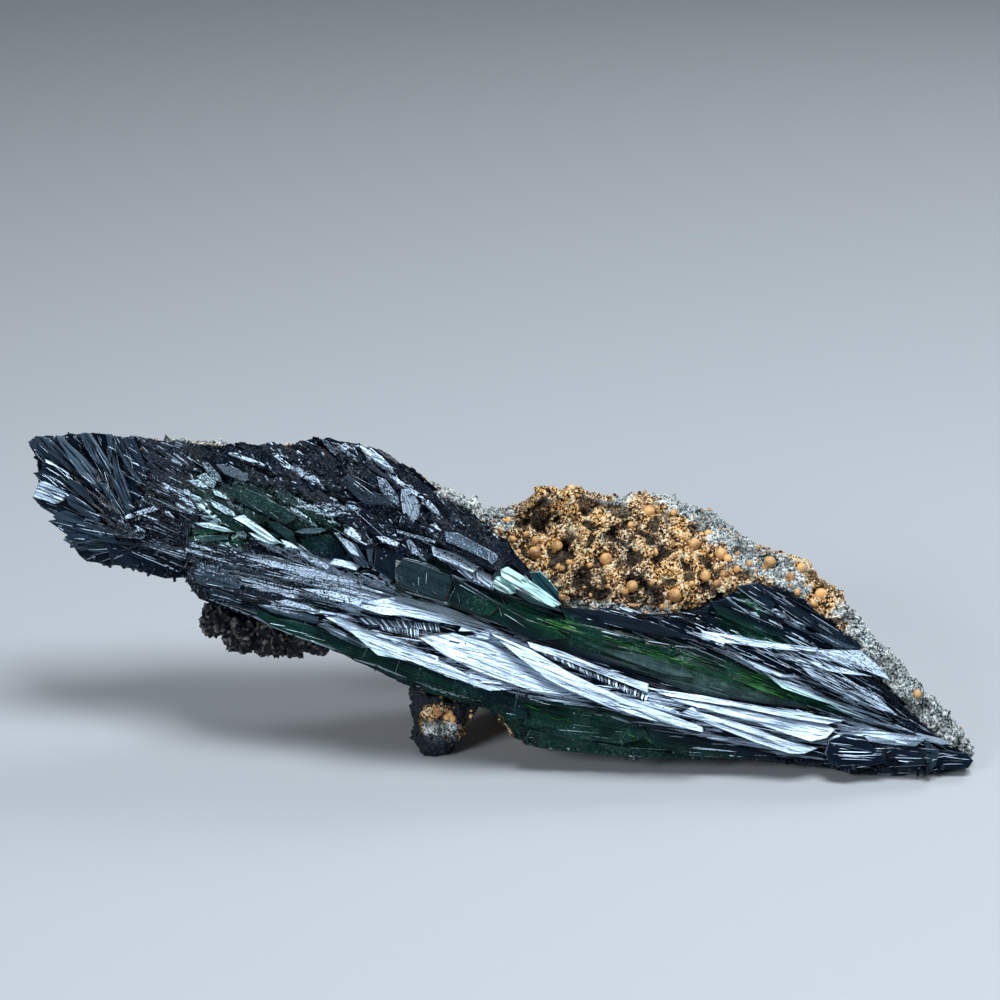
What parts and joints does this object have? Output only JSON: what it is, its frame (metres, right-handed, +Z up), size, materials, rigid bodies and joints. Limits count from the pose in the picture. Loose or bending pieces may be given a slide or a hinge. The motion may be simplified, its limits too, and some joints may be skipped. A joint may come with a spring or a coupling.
{
  "type": "mineral specimen",
  "caption": "Hand-sized natural mineral specimen: sprays of dark green bladed vivianite crystals grown on a rough block of brown oolitic ironstone that it rests on.",
  "frame": {"origin": "on the resting surface, under the centre of the specimen's bounding box", "axes": "+X along the specimen's length, from the fan of loose blades to the pointed tip; +Y towards the back of the ironstone; +Z up"},
  "size_m": [0.145, 0.042, 0.0475],
  "materials": {
    "vivianite": "glassy blue-black to dark green crystal with bright cleavage streaks",
    "green_vivianite": "glassy translucent green crystal",
    "teal_vivianite": "bright blue-green cleavage face",
    "crust": "black, knobbly, half-dull crust",
    "ironstone": "dull, earthy brown rock with dark pits",
    "ooid": "smooth, half-dull orange-brown grain"
  },
  "bodies": {
    "root": {"dark_crust": "crust", "ironstone_block": "ironstone", "left_fan": "vivianite", "main_spray": "vivianite", "ooid_01": "ooid", "ooid_02": "ooid", "ooid_03": "ooid", "ooid_04": "ooid", "ooid_05": "ooid", "ooid_06": "ooid", "ooid_07": "ooid", "ooid_08": "ooid", "ooid_09": "ooid", "ooid_10": "ooid", "ooid_11": "ooid", "ooid_12": "ooid", "right_sheaf": "vivianite", "right_wedge": "vivianite", "short_prism": "vivianite", "stout_prism": "green_vivianite", "teal_blade": "teal_vivianite", "tip_cluster": "vivianite", "upper_ridge": "vivianite"}
  },
  "joints": []
}
